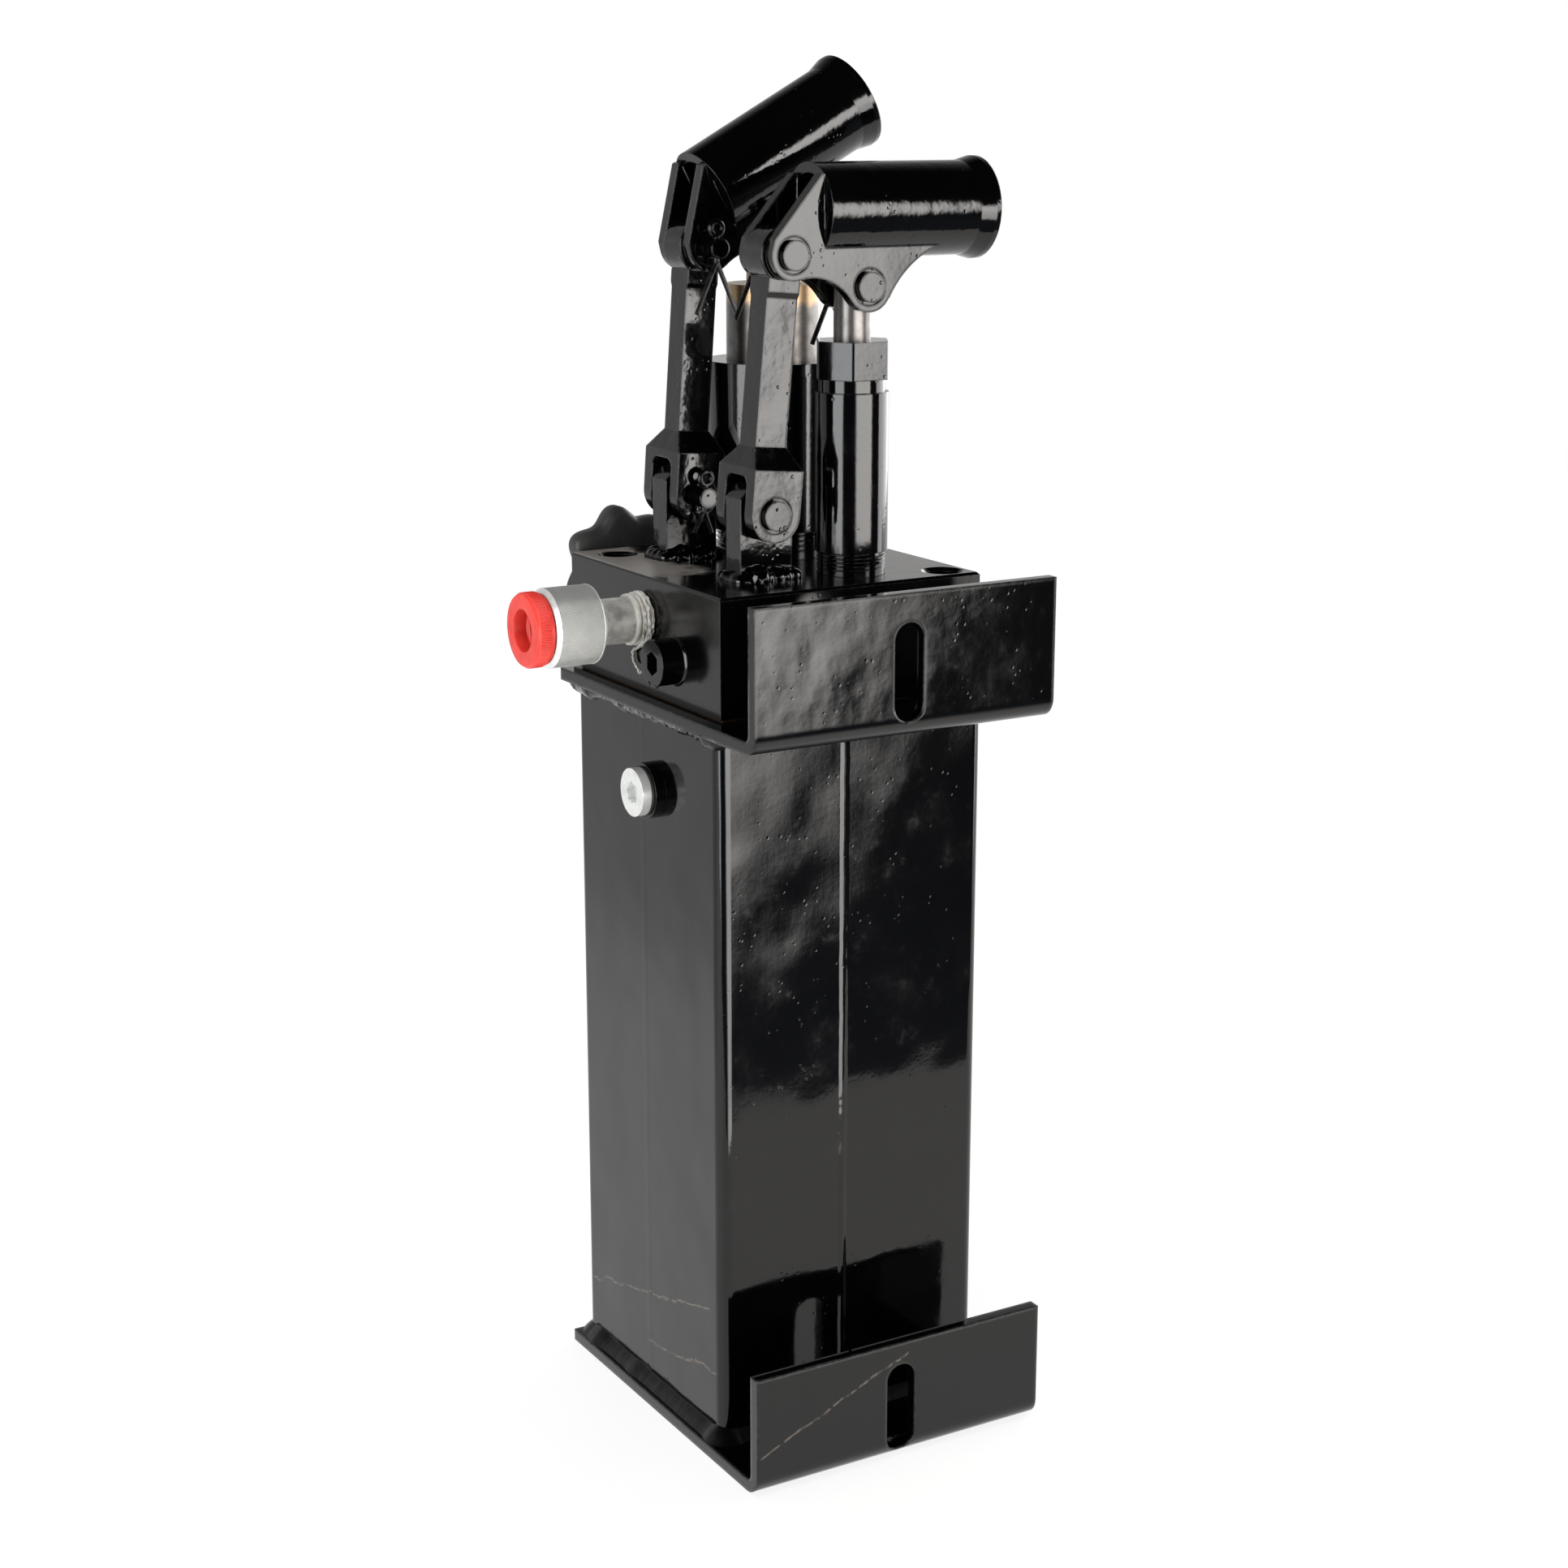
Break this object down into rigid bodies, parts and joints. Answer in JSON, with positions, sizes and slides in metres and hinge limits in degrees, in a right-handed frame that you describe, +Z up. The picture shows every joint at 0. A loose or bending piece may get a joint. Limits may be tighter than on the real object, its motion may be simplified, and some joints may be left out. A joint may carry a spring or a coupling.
{
  "type": "hydraulic hand pump",
  "caption": "Hand pump with small and large plunger pumps on a shared steel block, each worked by a lever socket, on a square oil tank with wall brackets, quick coupler and release knob.",
  "frame": {"origin": "tank axis on the underside of the lower bracket plate", "axes": "+Z up, -Y towards the wall that the flanges bolt to, -X towards the hose coupler, levers reach towards +X"},
  "size_m": [0.183, 0.175, 0.5423],
  "materials": {
    "black_enamel": "thick glossy black enamel",
    "bare_steel": "ground and lightly stained",
    "zinc_plate": "bright zinc plated",
    "dark_steel": "black oxide",
    "ball_steel": "polished",
    "red_plastic": "moulded, satin",
    "knob_plastic": "moulded, matte",
    "seal_rubber": "matte",
    "gasket_sheet": "pressed fibre sheet",
    "sealing_tape": "thin wrapped tape",
    "strainer_mesh": "woven wire"
  },
  "bodies": {
    "pump": {"lower_bracket": "black_enamel", "upper_bracket": "black_enamel", "tank_shell": "black_enamel", "foot_weld": "black_enamel", "top_weld": "black_enamel", "filler_boss": "black_enamel", "filler_plug": "zinc_plate", "filler_seal": "seal_rubber", "block_gasket": "gasket_sheet", "pump_block": "black_enamel", "block_screws": "dark_steel", "weld_nuts": "dark_steel", "near_lug": "black_enamel", "far_lug": "black_enamel", "lug_welds": "black_enamel", "near_barrel": "black_enamel", "far_barrel": "black_enamel", "near_rod_seal": "seal_rubber", "far_piston_seal": "seal_rubber", "relief_plug": "black_enamel", "relief_spring": "bare_steel", "coupler_nipple": "zinc_plate", "thread_sealant": "sealing_tape", "coupler_body": "zinc_plate", "sleeve_spring": "bare_steel", "locking_balls": "ball_steel", "spindle_seal": "seal_rubber", "suction_pipes": "bare_steel", "suction_strainers": "strainer_mesh", "outlet_springs": "bare_steel", "outlet_plugs": "dark_steel"},
    "near_plunger": {"near_plunger": "bare_steel"},
    "near_link": {"near_link": "black_enamel", "near_lug_pin": "black_enamel", "near_lug_cotter": "black_enamel"},
    "near_lever": {"near_cheeks": "black_enamel", "near_socket": "black_enamel", "near_link_pin": "black_enamel", "near_rod_pin": "black_enamel", "near_lever_cotters": "black_enamel"},
    "far_plunger": {"far_plunger": "bare_steel"},
    "far_link": {"far_link": "black_enamel", "far_lug_pin": "black_enamel", "far_lug_cotter": "black_enamel"},
    "far_lever": {"far_cheeks": "black_enamel", "far_socket": "black_enamel", "far_link_pin": "black_enamel", "far_rod_pin": "black_enamel", "far_lever_cotters": "black_enamel"},
    "release_ball": {"release_ball": "ball_steel"},
    "release_knob": {"release_spindle": "bare_steel", "star_knob": "knob_plastic"},
    "coupler_sleeve": {"coupler_sleeve": "zinc_plate"},
    "dust_plug": {"dust_plug": "red_plastic"},
    "relief_ball": {"relief_ball": "ball_steel"},
    "near_inlet_ball": {"near_inlet_ball": "ball_steel"},
    "near_outlet_ball": {"near_outlet_ball": "ball_steel"},
    "far_inlet_ball": {"far_inlet_ball": "ball_steel"},
    "far_outlet_ball": {"far_outlet_ball": "ball_steel"}
  },
  "joints": [
    {"name": "near_lever_tilt", "type": "hinge", "parent": "near_plunger", "child": "near_lever", "pos_m": [0.0171, -0.029, 0.45662], "axis": [0, -1, 0], "range_deg": [-12, 44]},
    {"name": "near_plunger_slide", "type": "slide", "parent": "pump", "child": "near_plunger", "axis": [0, 0, 1], "range_m": [-0.0076, 0.027]},
    {"name": "near_link_swing", "type": "hinge", "parent": "pump", "child": "near_link", "pos_m": [-0.0249, -0.029, 0.3729], "axis": [0, -1, 0], "range_deg": [-0.5, 1.6]},
    {"name": "far_lever_tilt", "type": "hinge", "parent": "far_plunger", "child": "far_lever", "pos_m": [0.0171, 0.031, 0.47414], "axis": [0, -1, 0], "range_deg": [-40.4, 15.6]},
    {"name": "far_plunger_slide", "type": "slide", "parent": "pump", "child": "far_plunger", "axis": [0, 0, 1], "range_m": [-0.025, 0.01]},
    {"name": "far_link_swing", "type": "hinge", "parent": "pump", "child": "far_link", "pos_m": [-0.0249, 0.031, 0.3729], "axis": [0, -1, 0], "range_deg": [-1.5, 0.7]},
    {"name": "knob_turn", "type": "hinge", "parent": "release_ball", "child": "release_knob", "pos_m": [-0.032, 0.07, 0.3375], "axis": [0, 1, 0], "range_deg": [0, 360]},
    {"name": "release_ball_slide", "type": "slide", "parent": "pump", "child": "release_ball", "axis": [0, 1, 0], "range_m": [0, 0.0016]},
    {"name": "sleeve_slide", "type": "slide", "parent": "pump", "child": "coupler_sleeve", "axis": [1, 0, 0], "range_m": [0, 0.005], "stiffness_N_per_m": 400, "springref_m": -0.003},
    {"name": "plug_pull", "type": "slide", "parent": "pump", "child": "dust_plug", "axis": [-1, 0, 0], "range_m": [0, 0.03]},
    {"name": "relief_lift", "type": "slide", "parent": "pump", "child": "relief_ball", "axis": [-1, 0, 0], "range_m": [0, 0.001], "stiffness_N_per_m": 60, "springref_m": -0.002},
    {"name": "near_inlet_lift", "type": "slide", "parent": "pump", "child": "near_inlet_ball", "axis": [0, 0, 1], "range_m": [0, 0.0012]},
    {"name": "near_outlet_lift", "type": "slide", "parent": "pump", "child": "near_outlet_ball", "axis": [1, 0, 0], "range_m": [0, 0.0012], "stiffness_N_per_m": 60, "springref_m": -0.002},
    {"name": "far_inlet_lift", "type": "slide", "parent": "pump", "child": "far_inlet_ball", "axis": [0, 0, 1], "range_m": [0, 0.0012]},
    {"name": "far_outlet_lift", "type": "slide", "parent": "pump", "child": "far_outlet_ball", "axis": [1, 0, 0], "range_m": [0, 0.0012], "stiffness_N_per_m": 60, "springref_m": -0.002}
  ],
  "couplings": [
    {"joint": "near_plunger_slide", "follows": "near_lever_tilt", "m_per_rad": 0.03468},
    {"joint": "near_link_swing", "follows": "near_lever_tilt", "ratio": 0.02965},
    {"joint": "far_plunger_slide", "follows": "far_lever_tilt", "m_per_rad": 0.03463},
    {"joint": "far_link_swing", "follows": "far_lever_tilt", "ratio": 0.02909},
    {"joint": "release_ball_slide", "follows": "knob_turn", "m_per_rad": 0.00023873}
  ]
}
